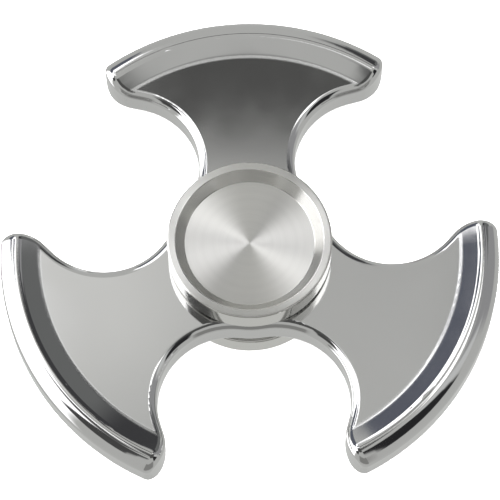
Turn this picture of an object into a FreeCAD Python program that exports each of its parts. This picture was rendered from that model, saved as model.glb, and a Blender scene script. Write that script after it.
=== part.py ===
"""Three-armed metal fidget spinner on an R188 ball bearing, with a finger button on each side.

Lengths are in millimetres and angles in degrees. The spin axis is Z and the origin is the
centre of the bearing, so the design is the same above and below the XY plane. One of the
three arms points along +Y.
"""
import FreeCAD
import Part
import Sketcher
import math
import os

DIMENSIONS = {
    # spinner body: outline
    "outer_radius": 30.0,
    "hub_radius": 9.82,
    "hub_half_angle": 8.2,
    "side_arc_radius": 8.84,
    "side_arc_sweep": 114.6,
    "flank_length": 1.26,
    "lobe_radius": 4.3,
    "cutter_margin": 5.0,
    # spinner body: section
    "web_half_thickness": 2.4,
    "ramp_foot_radius": 25.3,
    "ramp_foot_blend": 0.8,
    "ramp_angle": 20.0,
    "rim_round": 2.0,
    "edge_round": 1.0,
    "bore_chamfer": 0.25,
    # R188 ball bearing
    "bearing_bore_radius": 3.175,
    "bearing_outer_radius": 6.35,
    "bearing_half_width": 2.381,
    "ring_chamfer": 0.2,
    "ball_radius": 0.794,
    "ball_pitch_radius": 4.7625,
    "raceway_clearance": 0.02,
    "inner_shoulder_radius": 4.2,
    "outer_shoulder_radius": 5.35,
    "shield_seat_radius": 5.75,
    "shield_seat_height": 1.75,
    "shield_thickness": 0.2,
    "shield_radius": 5.7,
    "shield_bore_radius": 4.35,
    "wire_radius": 0.15,
    "wire_groove_radius": 5.87,
    "wire_span": 338.0,
    "cage_inner_radius": 4.42,
    "cage_outer_radius": 5.1,
    "cage_bottom": -1.35,
    "cage_top": 0.35,
    "cage_pocket_clearance": 0.05,
    # finger buttons
    "button_radius": 9.83,
    "button_top": 6.5,
    "button_underside": 2.9,
    "dish_rim_radius": 8.83,
    "dish_floor_radius": 7.78,
    "dish_depth": 1.4,
    "button_edge_round": 0.25,
    "dish_edge_round": 0.15,
    "shoulder_radius": 4.05,
    "stem_radius": 3.165,
    "stem_end": 0.15,
    # threaded stud that joins the two buttons
    "stud_radius": 2.0,
    "stud_half_length": 3.0,
    "stud_chamfer": 0.35,
    "stud_hole_clearance": 0.02,
    "stud_hole_end": 3.5,
    "hex_circumradius": 1.15,
    "hex_depth": 1.8,
}

ARMS = 3
BALLS = 10

doc = FreeCAD.newDocument("fidget_spinner")
sheet = doc.addObject("Spreadsheet::Sheet", "Sheet")
for row, (alias, number) in enumerate(DIMENSIONS.items(), start=1):
    sheet.set(f"A{row}", alias)
    sheet.set(f"B{row}", str(number))
    sheet.setAlias(f"B{row}", alias)
doc.recompute()

sub_parts = []


def value(expression):
    """Number that an expression on the sheet gives."""
    result = sheet.evalExpression(expression)
    return float(getattr(result, "Value", result))


def new_body(name):
    body = doc.addObject("PartDesign::Body", name)
    body.Label = name
    sub_parts.append(body)
    return body


def origin_feature(body, role):
    return next(feature for feature in body.Origin.OriginFeatures if feature.Role == role)


def new_sketch(body, name, plane):
    sketch = body.newObject("Sketcher::SketchObject", name)
    sketch.AttachmentSupport = (origin_feature(body, plane), [""])
    sketch.MapMode = "FlatFace"
    return sketch


def bind(sketch, name, expression, kind, *where):
    """Add a dimension to a sketch and tie it to the sheet."""
    number = value(expression)
    if kind == "Angle":
        number = math.radians(number)
    index = sketch.addConstraint(Sketcher.Constraint(kind, *where, number))
    sketch.renameConstraint(index, name)
    sketch.setExpression(f"Constraints.{name}", expression)


def pin(sketch, name, geometry, point, x, y):
    """Hold one point of a sketch at a pair of coordinates, where "0" means on the axis."""
    if x == "0":
        sketch.addConstraint(Sketcher.Constraint("PointOnObject", geometry, point, -2))
    else:
        bind(sketch, f"{name}_x", x, "DistanceX", -1, 1, geometry, point)
    if y == "0":
        sketch.addConstraint(Sketcher.Constraint("PointOnObject", geometry, point, -1))
    else:
        bind(sketch, f"{name}_y", y, "DistanceY", -1, 1, geometry, point)


def corner_arc(before, corner, after, radius):
    """Points where a rounded corner leaves its two lines, its middle, and whether it turns left."""
    arriving = (corner - before).normalize()
    leaving = (after - corner).normalize()
    turn_angle = arriving.getAngle(leaving)
    setback = radius * math.tan(turn_angle / 2)
    first = corner - arriving * setback
    last = corner + leaving * setback
    turns_left = arriving.cross(leaving).z > 0
    side = 1 if turns_left else -1
    middle = first + FreeCAD.Vector(-arriving.y, arriving.x, 0) * (side * radius)
    return first, last, middle, turns_left


def add_arc(sketch, middle, radius, start, end):
    """Arc drawn anticlockwise from start to end."""
    angles = [math.atan2(point.y - middle.y, point.x - middle.x) for point in (start, end)]
    circle = Part.Circle(middle, FreeCAD.Vector(0, 0, 1), radius)
    return sketch.addGeometry(Part.ArcOfCircle(circle, angles[0], angles[1]), False)


def draw_outline(sketch, corners):
    """Closed outline of straight lines, each corner (x, y) or (x, y, rounding) on the sheet."""
    count = len(corners)
    points = [FreeCAD.Vector(value(corner[0]), value(corner[1]), 0) for corner in corners]
    arcs = {}
    for index, corner in enumerate(corners):
        if len(corner) == 3:
            neighbours = points[index - 1], points[index], points[(index + 1) % count]
            arcs[index] = corner_arc(*neighbours, value(corner[2]))
    for index in range(count):
        following = (index + 1) % count
        start = arcs[index][1] if index in arcs else points[index]
        end = arcs[following][0] if following in arcs else points[following]
        sketch.addGeometry(Part.LineSegment(start, end), False)
    for index, corner in enumerate(corners):
        before = (index - 1) % count
        name = f"corner_{index}"
        if index not in arcs:
            sketch.addConstraint(Sketcher.Constraint("Coincident", before, 2, index, 1))
            pin(sketch, name, index, 1, corner[0], corner[1])
            continue
        first, last, middle, turns_left = arcs[index]
        ends = (first, last) if turns_left else (last, first)
        arc = add_arc(sketch, middle, value(corner[2]), *ends)
        at_first, at_last = (1, 2) if turns_left else (2, 1)
        sketch.addConstraint(Sketcher.Constraint("Tangent", before, 2, arc, at_first))
        sketch.addConstraint(Sketcher.Constraint("Tangent", arc, at_last, index, 1))
        bind(sketch, f"{name}_radius", corner[2], "Radius", arc)
        apex = sketch.addGeometry(Part.Point(points[index]), True)
        pin(sketch, name, apex, 1, corner[0], corner[1])
        sketch.addConstraint(Sketcher.Constraint("PointOnObject", apex, 1, before))
        sketch.addConstraint(Sketcher.Constraint("PointOnObject", apex, 1, index))


def draw_circle(sketch, x, y, radius):
    centre = FreeCAD.Vector(value(x), value(y), 0)
    circle = Part.Circle(centre, FreeCAD.Vector(0, 0, 1), value(radius))
    sketch.addGeometry(circle, False)
    pin(sketch, "centre", 0, 3, x, y)
    bind(sketch, "radius", radius, "Radius", 0)


def turn(body, sketch, name, kind="PartDesign::Revolution"):
    """Turn a half section in the XZ plane about the spin axis."""
    feature = body.newObject(kind, name)
    feature.Profile = sketch
    feature.ReferenceAxis = (sketch, ["V_Axis"])
    return feature


def lathe(name, corners):
    """New body: one closed half section turned all the way round."""
    body = new_body(name)
    sketch = new_sketch(body, f"{name}_section", "XZ_Plane")
    draw_outline(sketch, corners)
    return body, turn(body, sketch, f"{name}_turned")


def edge_names(shape, test):
    return [f"Edge{index}" for index, edge in enumerate(shape.Edges, start=1) if test(edge)]


def is_ring(edge, radius, height):
    """True for a full circle about the spin axis with this radius and height."""
    curve = edge.Curve
    if not isinstance(curve, Part.Circle):
        return False
    near_axis = math.hypot(curve.Center.x, curve.Center.y) < 1e-6
    same_size = abs(curve.Radius - value(radius)) < 1e-6
    return near_axis and same_size and abs(abs(curve.Center.z) - abs(value(height))) < 1e-6


def dress(body, kind, name, base, edges, size_name, expression):
    """Fillet or chamfer of the named edges."""
    feature = body.newObject(kind, name)
    feature.Base = (base, edges)
    feature.setExpression(size_name, expression)
    return feature


def fillet_rings(body, base, name, radius, height, expression):
    """Round every circular edge of this radius at this height, above and below."""
    doc.recompute()
    edges = edge_names(base.Shape, lambda edge: is_ring(edge, radius, height))
    return dress(body, "PartDesign::Fillet", name, base, edges, "Radius", expression)


def draw_scallop(sketch):
    """Gap between the two lower arms, as one closed outline that is symmetric about Y.

    It follows the convex hub, then on each side a concave arc, a short straight flank and
    the convex end of the lobe, and closes outside the rim.
    """
    hub = value("Sheet.hub_radius")
    side = value("Sheet.side_arc_radius")
    lobe = value("Sheet.lobe_radius")
    flank = value("Sheet.flank_length")
    lean = math.radians(value("Sheet.hub_half_angle"))
    sweep = math.radians(value("Sheet.side_arc_sweep"))
    floor = -value("Sheet.outer_radius + Sheet.cutter_margin")
    up = FreeCAD.Vector(0, 0, 1)
    down = -math.pi / 2

    hub_circle = Part.Circle(FreeCAD.Vector(0, 0, 0), up, hub)
    sketch.addGeometry(Part.ArcOfCircle(hub_circle, down - lean, down + lean), False)
    for sign in (1, -1):
        middle = FreeCAD.Vector(sign * math.sin(lean), -math.cos(lean), 0) * (hub + side)
        last = math.pi / 2 + lean - sweep
        outward = FreeCAD.Vector(sign * math.cos(last), math.sin(last), 0)
        along = FreeCAD.Vector(sign * math.sin(last), -math.cos(last), 0)
        flank_start = middle + outward * side
        flank_end = flank_start + along * flank
        lobe_middle = flank_end + outward * lobe
        lobe_end = lobe_middle + FreeCAD.Vector(0, -lobe, 0)
        side_circle = Part.Circle(middle, up, side)
        lobe_circle = Part.Circle(lobe_middle, up, lobe)
        if sign == 1:
            side_arc = Part.ArcOfCircle(side_circle, last, math.pi / 2 + lean)
            lobe_arc = Part.ArcOfCircle(lobe_circle, last + math.pi, 1.5 * math.pi)
        else:
            side_arc = Part.ArcOfCircle(side_circle, math.pi / 2 - lean, math.pi - last)
            lobe_arc = Part.ArcOfCircle(lobe_circle, 1.5 * math.pi, 2 * math.pi - last)
        corner = FreeCAD.Vector(lobe_end.x, floor, 0)
        sketch.addGeometry(side_arc, False)
        sketch.addGeometry(Part.LineSegment(flank_start, flank_end), False)
        sketch.addGeometry(lobe_arc, False)
        sketch.addGeometry(Part.LineSegment(lobe_end, corner), False)
    right_corner = sketch.Geometry[4].EndPoint
    left_corner = sketch.Geometry[8].EndPoint
    sketch.addGeometry(Part.LineSegment(right_corner, left_corner), False)
    constrain_scallop(sketch)


def constrain_scallop(sketch):
    """Tie the gap's outline to the sheet: hub arc 0, right side 1 to 4, left side 5 to 8."""
    add = sketch.addConstraint
    start, end, centre = 1, 2, 3
    add(Sketcher.Constraint("Coincident", 0, centre, -1, 1))
    add(Sketcher.Constraint("Horizontal", 0, start, 0, end))
    bind(sketch, "hub_radius", "Sheet.hub_radius", "Radius", 0)
    bind(sketch, "hub_angle", "2 * Sheet.hub_half_angle", "Angle", 0)
    sides = (("right", 1, end, end, start), ("left", 5, start, start, end))
    for name, first, hub_point, near, far in sides:
        side, flank, lobe, closing = first, first + 1, first + 2, first + 3
        add(Sketcher.Constraint("Tangent", 0, hub_point, side, near))
        add(Sketcher.Constraint("Tangent", side, far, flank, start))
        add(Sketcher.Constraint("Tangent", flank, end, lobe, far))
        add(Sketcher.Constraint("Coincident", lobe, near, closing, start))
        add(Sketcher.Constraint("Vertical", lobe, centre, lobe, near))
        add(Sketcher.Constraint("Vertical", closing))
        bind(sketch, f"{name}_side_radius", "Sheet.side_arc_radius", "Radius", side)
        bind(sketch, f"{name}_side_sweep", "Sheet.side_arc_sweep", "Angle", side)
        bind(sketch, f"{name}_flank", "Sheet.flank_length", "Distance", flank)
        bind(sketch, f"{name}_lobe_radius", "Sheet.lobe_radius", "Radius", lobe)
        add(Sketcher.Constraint("Coincident", closing, end, 9, start if first == 1 else end))
        depth = "-(Sheet.outer_radius + Sheet.cutter_margin)"
        bind(sketch, f"{name}_depth", depth, "DistanceY", -1, 1, closing, end)


def is_gap_wall(face):
    """True for a vertical face other than the bore and the outer rim."""
    surface = face.Surface
    u_min, u_max, v_min, v_max = face.ParameterRange
    normal = face.normalAt((u_min + u_max) / 2, (v_min + v_max) / 2)
    if abs(normal.z) > 1e-6:
        return False
    if isinstance(surface, Part.Cylinder):
        turned = (value("Sheet.outer_radius"), value("Sheet.bearing_outer_radius"))
        return all(abs(surface.Radius - radius) > 1e-6 for radius in turned)
    return isinstance(surface, Part.Plane)


def make_spinner_body():
    """Turned disc with a raised rim, three gaps cut through it and every gap edge rounded."""
    bore = "Sheet.bearing_outer_radius"
    rim = "Sheet.outer_radius"
    foot = "Sheet.ramp_foot_radius"
    web = "Sheet.web_half_thickness"
    corner = f"({web} + ({rim} - {foot}) * tan(Sheet.ramp_angle * 1 deg))"
    bore_low = "(Sheet.web_half_thickness - Sheet.bore_chamfer)"
    bore_wide = "(Sheet.bearing_outer_radius + Sheet.bore_chamfer)"
    upper = [
        (rim, corner, "Sheet.rim_round"), (foot, web, "Sheet.ramp_foot_blend"),
        (bore_wide, web), (bore, bore_low),
    ]
    lower = [(x, f"-{y}", *rounding) for x, y, *rounding in reversed(upper)]
    body, _ = lathe("spinner_body", upper + lower)
    sketch = new_sketch(body, "gap_outline", "XY_Plane")
    draw_scallop(sketch)
    gap = body.newObject("PartDesign::Pocket", "gap")
    gap.Profile = sketch
    gap.Type = "ThroughAll"
    gap.Midplane = True
    doc.recompute()
    pattern = body.newObject("PartDesign::PolarPattern", "three_gaps")
    pattern.Originals = [gap]
    pattern.Axis = (sketch, ["N_Axis"])
    pattern.Angle = 360
    pattern.Occurrences = ARMS
    body.Tip = pattern
    doc.recompute()
    shape = pattern.Shape

    def is_gap_edge(edge):
        faces = shape.ancestorsOfType(edge, Part.Face)
        return sum(is_gap_wall(face) for face in faces) == 1

    edges = edge_names(shape, is_gap_edge)
    radius = "Sheet.edge_round"
    body.Tip = dress(body, "PartDesign::Fillet", "gap_fillet", pattern, edges, "Radius", radius)


def cut_raceway(body, name):
    """Ball groove round a bearing ring."""
    sketch = new_sketch(body, f"{name}_raceway_section", "XZ_Plane")
    radius = "Sheet.ball_radius + Sheet.raceway_clearance"
    draw_circle(sketch, "Sheet.ball_pitch_radius", "0", radius)
    body.Tip = turn(body, sketch, f"{name}_raceway", "PartDesign::Groove")


def make_bearing_rings():
    half = "Sheet.bearing_half_width"
    low = "(Sheet.bearing_half_width - Sheet.ring_chamfer)"
    bore = "Sheet.bearing_bore_radius"
    shoulder = "Sheet.inner_shoulder_radius"
    inner, _ = lathe(
        "bearing_inner_ring",
        [
            (f"{bore} + Sheet.ring_chamfer", f"-{half}"), (shoulder, f"-{half}"),
            (shoulder, half), (f"{bore} + Sheet.ring_chamfer", half),
            (bore, low), (bore, f"-{low}"),
        ],
    )
    cut_raceway(inner, "inner")

    outside = "Sheet.bearing_outer_radius"
    shoulder = "Sheet.outer_shoulder_radius"
    seat = "Sheet.shield_seat_radius"
    step = "Sheet.shield_seat_height"
    groove = "Sheet.wire_groove_radius"
    groove_low = "(Sheet.shield_seat_height + Sheet.shield_thickness)"
    groove_high = "(Sheet.shield_seat_height + Sheet.shield_thickness + 2 * Sheet.wire_radius)"
    upper = [
        (f"{outside} - Sheet.ring_chamfer", half), (seat, half), (seat, groove_high),
        (groove, groove_high), (groove, groove_low), (seat, groove_low), (seat, step),
        (shoulder, step),
    ]
    lower = [(x, f"-{y}") for x, y in reversed(upper)]
    sides = [(outside, f"-{low}"), (outside, low)]
    outer, _ = lathe("bearing_outer_ring", upper + lower + sides)
    cut_raceway(outer, "outer")


def make_shields_and_wires():
    """Pressed shield and the snap wire that holds it, on each face of the bearing."""
    for name, sign in (("top", ""), ("bottom", "-")):
        low = f"{sign}Sheet.shield_seat_height"
        high = f"{sign}(Sheet.shield_seat_height + Sheet.shield_thickness)"
        lathe(
            f"shield_{name}",
            [
                ("Sheet.shield_bore_radius", low), ("Sheet.shield_radius", low),
                ("Sheet.shield_radius", high), ("Sheet.shield_bore_radius", high),
            ],
        )
        wire = new_body(f"snap_wire_{name}")
        sketch = new_sketch(wire, f"wire_section_{name}", "XZ_Plane")
        middle = f"{sign}(Sheet.shield_seat_height + Sheet.shield_thickness + Sheet.wire_radius)"
        draw_circle(sketch, "Sheet.wire_groove_radius - Sheet.wire_radius", middle, "Sheet.wire_radius")
        ring = turn(wire, sketch, f"wire_{name}")
        ring.setExpression("Angle", "Sheet.wire_span")


def make_cage():
    """Crown cage: a ring with one open pocket for each ball."""
    low = "Sheet.cage_bottom"
    high = "Sheet.cage_top"
    near = "Sheet.cage_inner_radius"
    far = "Sheet.cage_outer_radius"
    body, _ = lathe("ball_cage", [(near, low), (far, low), (far, high), (near, high)])
    pocket = body.newObject("PartDesign::SubtractiveSphere", "ball_pocket")
    pocket.setExpression("Radius", "Sheet.ball_radius + Sheet.cage_pocket_clearance")
    pocket.setExpression("Placement.Base.x", "Sheet.ball_pitch_radius")
    doc.recompute()
    pattern = body.newObject("PartDesign::PolarPattern", "ball_pockets")
    pattern.Originals = [pocket]
    pattern.Axis = (origin_feature(body, "Z_Axis"), [""])
    pattern.Angle = 360
    pattern.Occurrences = BALLS
    body.Tip = pattern


def make_balls():
    for index in range(BALLS):
        ball = doc.addObject("Part::Sphere", f"ball_{index + 1:02d}")
        angle = index * 360 / BALLS
        ball.setExpression("Radius", "Sheet.ball_radius")
        ball.setExpression("Placement.Base.x", f"Sheet.ball_pitch_radius * cos({angle} deg)")
        ball.setExpression("Placement.Base.y", f"Sheet.ball_pitch_radius * sin({angle} deg)")
        sub_parts.append(ball)


def make_button(name, sign):
    """Finger button: dished cap, spacer shoulder and a stem that fills the bearing's bore."""
    top = f"{sign}Sheet.button_top"
    floor = f"{sign}(Sheet.button_top - Sheet.dish_depth)"
    underside = f"{sign}Sheet.button_underside"
    bearing_face = f"{sign}Sheet.bearing_half_width"
    stem_end = f"{sign}Sheet.stem_end"
    hole_end = f"{sign}Sheet.stud_hole_end"
    hole = "Sheet.stud_radius + Sheet.stud_hole_clearance"
    body, cap = lathe(
        name,
        [
            ("0", hole_end), (hole, hole_end), (hole, stem_end),
            ("Sheet.stem_radius", stem_end), ("Sheet.stem_radius", bearing_face),
            ("Sheet.shoulder_radius", bearing_face), ("Sheet.shoulder_radius", underside),
            ("Sheet.button_radius", underside), ("Sheet.button_radius", top),
            ("Sheet.dish_rim_radius", top), ("Sheet.dish_floor_radius", floor), ("0", floor),
        ],
    )
    edges = (
        ("outer_edge", "Sheet.button_radius", top, "Sheet.button_edge_round"),
        ("lower_edge", "Sheet.button_radius", underside, "Sheet.button_edge_round"),
        ("dish_rim", "Sheet.dish_rim_radius", top, "Sheet.dish_edge_round"),
        ("dish_floor", "Sheet.dish_floor_radius", floor, "Sheet.dish_edge_round"),
    )
    for label, radius, height, size in edges:
        cap = fillet_rings(body, cap, f"{name}_{label}", radius, height, size)
    body.Tip = cap


def make_stud():
    """Double-ended stud with a hexagon socket in its upper end."""
    end = "Sheet.stud_half_length"
    side = "(Sheet.stud_half_length - Sheet.stud_chamfer)"
    radius = "Sheet.stud_radius"
    tip = "Sheet.stud_radius - Sheet.stud_chamfer"
    body, _ = lathe(
        "threaded_stud",
        [("0", f"-{end}"), (tip, f"-{end}"), (radius, f"-{side}"), (radius, side), (tip, end), ("0", end)],
    )
    socket = body.newObject("PartDesign::SubtractivePrism", "hex_socket")
    socket.Polygon = 6
    socket.setExpression("Circumradius", "Sheet.hex_circumradius")
    socket.setExpression("Height", "Sheet.hex_depth + 1")
    socket.setExpression("Placement.Base.z", "Sheet.stud_half_length - Sheet.hex_depth")
    body.Tip = socket


def check_document():
    for item in doc.Objects:
        if "Invalid" in item.State or "Error" in item.State:
            raise RuntimeError(f"{item.Name} failed: {item.State}")
    for item in sub_parts:
        if item.Shape.isNull() or not item.Shape.isValid():
            raise RuntimeError(f"{item.Label} has no valid shape")
        if len(item.Shape.Solids) != 1:
            raise RuntimeError(f"{item.Label} has {len(item.Shape.Solids)} solids")


def export_parts():
    os.makedirs("parts", exist_ok=True)
    for item in sub_parts:
        item.Shape.exportStep(f"parts/{item.Label}.step")
        box = item.Shape.BoundBox
        print(f"{item.Label:20s} volume {item.Shape.Volume:9.3f}"
              f"  z {box.ZMin:7.3f} {box.ZMax:7.3f}  r {box.XMax:7.3f}")


make_spinner_body()
make_bearing_rings()
make_shields_and_wires()
make_cage()
make_balls()
make_button("top_button", "")
make_button("bottom_button", "-")
make_stud()
doc.recompute()
check_document()
export_parts()
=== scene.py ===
"""Studio picture of a polished metal fidget spinner, in metres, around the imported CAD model."""

import bpy
import math
from mathutils import Matrix, Vector


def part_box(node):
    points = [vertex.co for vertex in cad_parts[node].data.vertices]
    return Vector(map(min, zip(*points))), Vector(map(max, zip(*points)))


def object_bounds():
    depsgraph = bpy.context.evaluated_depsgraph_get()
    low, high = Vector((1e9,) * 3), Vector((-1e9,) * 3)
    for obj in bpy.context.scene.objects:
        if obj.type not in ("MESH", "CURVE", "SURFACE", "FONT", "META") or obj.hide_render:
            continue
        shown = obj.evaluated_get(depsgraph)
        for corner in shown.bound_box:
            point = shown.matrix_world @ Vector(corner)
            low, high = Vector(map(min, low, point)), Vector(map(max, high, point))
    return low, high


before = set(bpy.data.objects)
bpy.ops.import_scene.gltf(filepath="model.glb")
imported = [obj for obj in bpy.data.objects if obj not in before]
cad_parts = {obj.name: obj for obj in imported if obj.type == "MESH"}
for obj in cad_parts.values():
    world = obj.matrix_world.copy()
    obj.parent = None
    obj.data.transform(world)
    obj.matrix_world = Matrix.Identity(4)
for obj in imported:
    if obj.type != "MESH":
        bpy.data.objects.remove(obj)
cad_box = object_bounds()

CAMERA_ELEVATION = math.radians(70.39)
CAMERA_AZIMUTH = math.radians(-1.0)
CAMERA_ROLL = math.radians(-0.70)
CAMERA_DISTANCE = 0.3747
CAMERA_AIM = (0.00004, 0.00093)
CAMERA_LENS = 223.4

# Zones of finish on the model, by distance from the spin axis: the foot of the raised rims on
# the body, then the dish of the finger button.
FOOT_RADIUS = 0.0253
FOOT_HALF_WIDTH = 0.0005
FOOT_ROUGHNESS = 0.2
DISH_FLOOR_RADIUS = 0.00772
DISH_RIM_RADIUS = 0.00885
ZONE_EDGE = 0.0001
DISH_WALL_ROUGHNESS = 0.22
BUTTON_WALL_ROUGHNESS = 0.08
BUTTON_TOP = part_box("top_button")[1][2]

# Surroundings that the polished metal mirrors, in degrees. Azimuth runs from +Y towards +X.
# Cards: middle azimuth and elevation, half width and half height, soft edge, and brightness.
STUDIO_GREY = (0.66, 0.665, 0.65)
CARDS = (
    ("left_of_centre", 346, 70, 12, 5, 12, (0.95, 0.95, 0.93)),
    ("side_right", 74, 30, 18, 32, 10, (0.42, 0.42, 0.43)),
    ("box_right", 97, 50, 9, 20, 8, (0.8, 0.81, 0.81)),
    ("front_low", 178, -5, 34, 30, 8, (0.33, 0.33, 0.32)),
    ("flag_left_high", 265, 67, 26, 8, 4, (0.12, 0.12, 0.12)),
    ("left_box", 272, 13, 29, 50, 9, (2.8, 2.8, 2.85)),
    ("flag_front_left", 236, 45, 13, 20, 4, (0.09, 0.09, 0.09)),
    ("flag_front_right", 123, 42, 16, 26, 4, (0.03, 0.03, 0.032)),
)
# Rings about one direction, kept between two azimuths: azimuth and elevation of the middle,
# inner and outer angle from it, middle and half width in azimuth, soft edge, and brightness.
RINGS = (
    ("ramp_flag_right", 350.5, 71.8, 34, 60, 39, 22, 2, (0.2, 0.205, 0.205)),
    ("crest_flag_right", 350.5, 71.8, 5, 34, 37.5, 23.5, 2, (0.07, 0.07, 0.075)),
    ("ramp_flag_left", 9.5, 71.8, 34, 60, 321, 22, 2, (0.15, 0.16, 0.2)),
    ("left_box_top", 9.5, 71.8, 6, 34.5, 316, 30, 2, (2.6, 2.6, 2.65)),
    ("overhead", 0, 90, -5, 17, 0, 62, 3, STUDIO_GREY),
)
# Cards again, in front of the rings.
STRIPS = (
    ("flag_back", 6, 66.6, 14, 2.0, 1.4, (0.112, 0.112, 0.11)),
    ("flag_back_left_high", 322, 60.5, 8, 6, 2, (0.15, 0.16, 0.2)),
    ("flag_back_right_low", 19, 36, 6, 9, 7, (0.07, 0.07, 0.075)),
    ("side_right_top", 44, 67, 17, 3.2, 2, (0.42, 0.42, 0.43)),
    ("side_right_edge", 54, 60, 9, 6, 3, (0.42, 0.42, 0.43)),
    ("strip_right", 45, 72.3, 28, 2.6, 1, (2.6, 2.6, 2.6)),
)

# Dark card above the object, on the camera's side of the spin axis: size of the clear sheet it
# is drawn on, its height, half width, reach along Y and tone.
CARD_SHEET = 0.24
CARD_HEIGHT = 0.1
CARD_HALF_WIDTH = 0.03
CARD_SPAN = (-0.06, -0.0048)
CARD_TONE = (0.112, 0.112, 0.11)

FLOOR_SIZE = 4
KEY_SIZE = 1.5
KEY_POWER = 60
KEY_HEIGHT = 0.8


def add_camera():
    spin = Matrix.Rotation(CAMERA_AZIMUTH, 3, "Z")
    back = Vector((0, -math.cos(CAMERA_ELEVATION), math.sin(CAMERA_ELEVATION)))
    right = Vector((1, 0, 0))
    up = back.cross(right)
    tilt = Matrix.Rotation(CAMERA_ROLL, 3, back)
    aim = Vector((CAMERA_AIM[0], CAMERA_AIM[1], 0))
    data = bpy.data.cameras.new("camera")
    data.lens = CAMERA_LENS
    data.sensor_width = 36
    data.clip_start = 0.01
    camera = bpy.data.objects.new("camera", data)
    axes = Matrix((spin @ tilt @ right, spin @ tilt @ up, spin @ back)).transposed()
    camera.matrix_world = Matrix.Translation(spin @ (aim + back * CAMERA_DISTANCE)) @ axes.to_4x4()
    bpy.context.scene.collection.objects.link(camera)
    bpy.context.scene.camera = camera


class Tree:
    """Short way to add nodes: each method gives the socket that carries the result."""

    def __init__(self, tree):
        self.nodes = tree.nodes
        self.links = tree.links

    def feed(self, socket, source):
        if isinstance(source, bpy.types.NodeSocket):
            self.links.new(source, socket)
        else:
            socket.default_value = source

    def math(self, operation, *sources):
        node = self.nodes.new("ShaderNodeMath")
        node.operation = operation
        for socket, source in zip(node.inputs, sources):
            self.feed(socket, source)
        return node.outputs[0]

    def ramp(self, source, low, high, to_low=0.0, to_high=1.0):
        """Value that eases from to_low to to_high as the source goes from low to high."""
        node = self.nodes.new("ShaderNodeMapRange")
        node.interpolation_type = "SMOOTHSTEP"
        for socket, number in zip(node.inputs, (source, low, high, to_low, to_high)):
            self.feed(socket, number)
        return node.outputs[0]

    def mix(self, factor, first, second):
        """Colour that goes from the first to the second as the factor goes from 0 to 1."""
        node = self.nodes.new("ShaderNodeMix")
        node.data_type = "RGBA"
        self.feed(node.inputs["Factor"], factor)
        colors = [socket for socket in node.inputs if socket.type == "RGBA"]
        for socket, source in zip(colors, (first, second)):
            self.feed(socket, source if isinstance(source, bpy.types.NodeSocket) else (*source, 1))
        return next(socket for socket in node.outputs if socket.type == "RGBA")

    def noise(self, vector, scale, detail=2.0):
        node = self.nodes.new("ShaderNodeTexNoise")
        node.inputs["Scale"].default_value = scale
        node.inputs["Detail"].default_value = detail
        self.feed(node.inputs["Vector"], vector)
        return node.outputs["Fac"]

    def point(self, output="Object"):
        return self.nodes.new("ShaderNodeTexCoord").outputs[output]

    def split(self, vector):
        node = self.nodes.new("ShaderNodeSeparateXYZ")
        self.feed(node.inputs[0], vector)
        return node.outputs

    def combine(self, x, y, z):
        node = self.nodes.new("ShaderNodeCombineXYZ")
        for socket, source in zip(node.inputs, (x, y, z)):
            self.feed(socket, source)
        return node.outputs[0]

    def bump(self, height, strength, distance):
        node = self.nodes.new("ShaderNodeBump")
        node.inputs["Strength"].default_value = strength
        node.inputs["Distance"].default_value = distance
        self.feed(node.inputs["Height"], height)
        return node.outputs[0]


def new_material(name):
    material = bpy.data.materials.new(name)
    material.use_nodes = True
    return material, Tree(material.node_tree), material.node_tree.nodes["Principled BSDF"]


def radius_of(tree, point):
    x, y, _ = tree.split(point)
    squares = tree.math("ADD", tree.math("MULTIPLY", x, x), tree.math("MULTIPLY", y, y))
    return tree.math("SQRT", squares)


def polished_metal(name, color, smooth, worn, scratch=0.03):
    """Mirror finish with faint buffing haze, hairline scratches and a slight change of tone."""
    material, tree, shader = new_material(name)
    point = tree.point()
    haze = tree.noise(point, 90, 3)
    x, y, z = tree.split(point)
    along = tree.combine(tree.math("MULTIPLY", x, 0.12), y, z)
    hairlines = tree.noise(along, 9000, 3)
    darker = tuple(0.94 * part for part in color)
    shader.inputs["Metallic"].default_value = 1
    tree.feed(shader.inputs["Base Color"], tree.mix(haze, color, darker))
    tree.feed(shader.inputs["Roughness"], tree.ramp(haze, 0.35, 0.7, smooth, worn))
    tree.feed(shader.inputs["Normal"], tree.bump(hairlines, scratch, 0.000004))
    return material, tree, shader


def body_metal(name, color):
    """Body finish: polished all over, softer in the corner at the foot of each raised rim."""
    material, tree, shader = polished_metal(name, color, 0.05, 0.09)
    radius = radius_of(tree, tree.point())
    near, far = ZONE_EDGE, FOOT_HALF_WIDTH
    rise = tree.ramp(radius, FOOT_RADIUS - far, FOOT_RADIUS - near)
    fall = tree.ramp(radius, FOOT_RADIUS + near, FOOT_RADIUS + far, 1, 0)
    in_corner = tree.math("MULTIPLY", tree.math("MULTIPLY", rise, fall), FOOT_ROUGHNESS)
    haze = shader.inputs["Roughness"].links[0].from_socket
    tree.feed(shader.inputs["Roughness"], tree.math("MAXIMUM", haze, in_corner))
    return material


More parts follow.
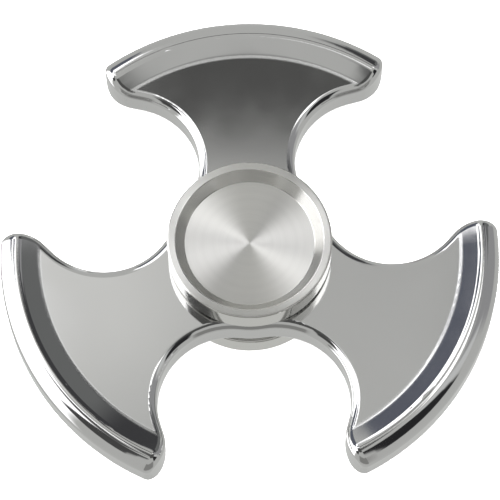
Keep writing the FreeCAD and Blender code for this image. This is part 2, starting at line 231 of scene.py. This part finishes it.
def turned_metal(name, color):
    """Finger button: fine turned dish floor, satin rim and polished walls, by place."""
    material, tree, shader = new_material(name)
    point = tree.point()
    radius = radius_of(tree, point)
    height = tree.math("ABSOLUTE", tree.split(point)[2])
    in_dish = tree.ramp(radius, DISH_FLOOR_RADIUS, DISH_FLOOR_RADIUS + ZONE_EDGE, 1, 0)
    on_dish_wall = tree.math(
        "MULTIPLY",
        tree.math("SUBTRACT", 1, in_dish),
        tree.ramp(radius, DISH_RIM_RADIUS, DISH_RIM_RADIUS + ZONE_EDGE, 1, 0),
    )
    on_rim = tree.math(
        "MULTIPLY",
        tree.ramp(radius, DISH_RIM_RADIUS, DISH_RIM_RADIUS + ZONE_EDGE),
        tree.ramp(height, BUTTON_TOP - 0.00009, BUTTON_TOP - 0.00003),
    )
    rings = tree.noise(tree.combine(radius, 0, 0), 9000, 4)
    bands = tree.noise(tree.combine(radius, 0, 0.3), 1700, 1)
    grain = tree.noise(point, 30000, 1)
    tone = tree.math("ADD", tree.math("MULTIPLY", rings, 0.5), tree.math("MULTIPLY", bands, 0.5))
    darker = tuple(0.94 * part for part in color)
    shader.inputs["Metallic"].default_value = 1
    shader.inputs["Anisotropic"].default_value = 0.9
    shader.inputs["Anisotropic Rotation"].default_value = 0.25
    tangent = tree.nodes.new("ShaderNodeTangent")
    tangent.direction_type = "RADIAL"
    tangent.axis = "Z"
    tree.feed(shader.inputs["Tangent"], tangent.outputs[0])
    tree.feed(shader.inputs["Base Color"], tree.mix(tree.ramp(tone, 0.3, 0.7), darker, color))
    floor_rough = tree.math("MULTIPLY", in_dish, tree.ramp(tone, 0.3, 0.7, 0.28, 0.33))
    rim_rough = tree.math("MULTIPLY", on_rim, tree.ramp(grain, 0.3, 0.7, 0.3, 0.4))
    wall_rough = tree.math("MULTIPLY", on_dish_wall, DISH_WALL_ROUGHNESS)
    matt = tree.math("MAXIMUM", tree.math("MAXIMUM", floor_rough, rim_rough), wall_rough)
    tree.feed(shader.inputs["Roughness"], tree.math("MAXIMUM", matt, BUTTON_WALL_ROUGHNESS))
    relief = tree.math("MULTIPLY", rings, tree.math("MAXIMUM", in_dish, 0.05))
    tree.feed(shader.inputs["Normal"], tree.bump(relief, 0.06, 0.00001))
    return material


def brushed_metal(name, color, roughness, scale):
    """Plain machined or pressed steel with fine grain."""
    material, tree, shader = new_material(name)
    grain = tree.noise(tree.point(), scale, 4)
    darker = tuple(0.7 * part for part in color)
    shader.inputs["Metallic"].default_value = 1
    tree.feed(shader.inputs["Base Color"], tree.mix(grain, darker, color))
    tree.feed(shader.inputs["Roughness"], tree.ramp(grain, 0.3, 0.7, roughness, roughness + 0.12))
    tree.feed(shader.inputs["Normal"], tree.bump(grain, 0.1, 0.00001))
    return material


def assign(material, *nodes):
    for node in nodes:
        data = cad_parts[node].data
        data.materials.clear()
        data.materials.append(material)


def window(tree, angle, middle, half, soft):
    """One within half of the middle angle, with soft edges, round the circle."""
    away = tree.math("WRAP", tree.math("SUBTRACT", angle, middle), 180, -180)
    return tree.ramp(tree.math("ABSOLUTE", away), half - soft / 2, half + soft / 2, 1, 0)


def direction(azimuth, elevation):
    """Unit vector from two angles in degrees, azimuth from +Y towards +X."""
    level = math.cos(math.radians(elevation))
    turn = math.radians(azimuth)
    return level * math.sin(turn), level * math.cos(turn), math.sin(math.radians(elevation))


def add_cards(tree, cards, azimuth, elevation, color):
    """The color with each card laid over it in turn."""
    for _, middle, height, half_width, half_height, soft, brightness in cards:
        across = window(tree, azimuth, middle, half_width, soft)
        upright = window(tree, elevation, height, half_height, soft)
        color = tree.mix(tree.math("MULTIPLY", across, upright), color, brightness)
    return color


def add_rings(tree, rings, ray, azimuth, color):
    """The color with each ring laid over it in turn."""
    for _, turn, rise, inner, outer, middle, half_width, soft, brightness in rings:
        dot = tree.nodes.new("ShaderNodeVectorMath")
        dot.operation = "DOT_PRODUCT"
        dot.inputs[1].default_value = direction(turn, rise)
        tree.feed(dot.inputs[0], ray)
        arc = tree.math("ARCCOSINE", dot.outputs["Value"])
        angle = tree.math("MULTIPLY", arc, math.degrees(1))
        ring = window(tree, angle, (inner + outer) / 2, (outer - inner) / 2, soft)
        across = window(tree, azimuth, middle, half_width, soft)
        color = tree.mix(tree.math("MULTIPLY", ring, across), color, brightness)
    return color


def add_studio():
    """Even grey surroundings with soft boxes and dark flags, white where the camera sees them."""
    world = bpy.data.worlds.new("studio")
    world.use_nodes = True
    tree = Tree(world.node_tree)
    ray = tree.point("Generated")
    x, y, z = tree.split(ray)
    azimuth = tree.math("MULTIPLY", tree.math("ARCTAN2", x, y), math.degrees(1))
    elevation = tree.math("MULTIPLY", tree.math("ARCSINE", z), math.degrees(1))
    color = add_cards(tree, CARDS, azimuth, elevation, STUDIO_GREY)
    color = add_rings(tree, RINGS, ray, azimuth, color)
    color = add_cards(tree, STRIPS, azimuth, elevation, color)
    seen = tree.nodes.new("ShaderNodeLightPath").outputs["Is Camera Ray"]
    tree.feed(tree.nodes["Background"].inputs["Color"], tree.mix(seen, color, (1, 1, 1)))
    bpy.context.scene.world = world


def band(tree, value, low, high, soft):
    """One between low and high, with soft edges."""
    rising = tree.ramp(value, low - soft / 2, low + soft / 2)
    falling = tree.ramp(value, high - soft / 2, high + soft / 2, 1, 0)
    return tree.math("MULTIPLY", rising, falling)


def add_dark_card():
    """Soft-edged dark card that only the polished metal sees."""
    bpy.ops.mesh.primitive_plane_add(size=CARD_SHEET, location=(0, 0, CARD_HEIGHT))
    card = bpy.context.object
    card.name = "dark_card"
    card.visible_camera = False
    card.visible_diffuse = False
    card.visible_shadow = False
    material, tree, shader = new_material("dark_card")
    x, y, _ = tree.split(tree.point())
    across = band(tree, x, -CARD_HALF_WIDTH, CARD_HALF_WIDTH, 0.006)
    along = band(tree, y, *CARD_SPAN, 0.003)
    emission = tree.nodes.new("ShaderNodeEmission")
    emission.inputs["Color"].default_value = (*CARD_TONE, 1)
    clear = tree.nodes.new("ShaderNodeBsdfTransparent")
    blend = tree.nodes.new("ShaderNodeMixShader")
    tree.feed(blend.inputs[0], tree.math("MULTIPLY", across, along))
    tree.links.new(clear.outputs[0], blend.inputs[1])
    tree.links.new(emission.outputs[0], blend.inputs[2])
    tree.links.new(blend.outputs[0], tree.nodes["Material Output"].inputs["Surface"])
    tree.nodes.remove(shader)
    card.data.materials.append(material)


def add_floor():
    low = cad_box[0][2]
    bpy.ops.mesh.primitive_plane_add(size=FLOOR_SIZE, location=(0, 0, low))
    floor = bpy.context.object
    floor.name = "floor"
    floor.visible_glossy = False
    material, tree, shader = new_material("floor_white")
    paper = tree.noise(tree.point(), 60, 2)
    tree.feed(shader.inputs["Base Color"], tree.mix(paper, (0.9, 0.9, 0.9), (0.92, 0.92, 0.92)))
    shader.inputs["Roughness"].default_value = 0.9
    shader.inputs["Specular IOR Level"].default_value = 0
    floor.data.materials.append(material)


def add_key_light():
    """Large soft light overhead that lights the floor evenly."""
    data = bpy.data.lights.new("key", "AREA")
    data.shape = "SQUARE"
    data.size = KEY_SIZE
    data.energy = KEY_POWER
    light = bpy.data.objects.new("key", data)
    light.location = (0, 0, KEY_HEIGHT)
    light.visible_glossy = False
    light.visible_camera = False
    bpy.context.scene.collection.objects.link(light)


add_camera()
assign(body_metal("body_polish", (0.6, 0.6, 0.595)), "spinner_body")
assign(turned_metal("button_turned", (0.68, 0.675, 0.65)), "top_button", "bottom_button")
assign(
    polished_metal("bearing_polish", (0.6, 0.6, 0.6), 0.08, 0.14)[0],
    "bearing_outer_ring",
    "bearing_inner_ring",
)
assign(brushed_metal("shield_pressed", (0.5, 0.5, 0.5), 0.25, 5000), "shield_top", "shield_bottom")
assign(
    brushed_metal("wire_drawn", (0.35, 0.35, 0.36), 0.3, 8000),
    "snap_wire_top",
    "snap_wire_bottom",
)
assign(brushed_metal("cage_pressed", (0.55, 0.52, 0.46), 0.3, 6000), "ball_cage")
assign(brushed_metal("stud_black_oxide", (0.12, 0.12, 0.13), 0.4, 4000), "threaded_stud")
balls = [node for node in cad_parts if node.startswith("ball_") and node != "ball_cage"]
assign(polished_metal("ball_lapped", (0.66, 0.66, 0.67), 0.02, 0.05, 0.01)[0], *balls)
add_floor()
add_key_light()
add_dark_card()
add_studio()
bpy.context.scene.view_settings.view_transform = "Standard"
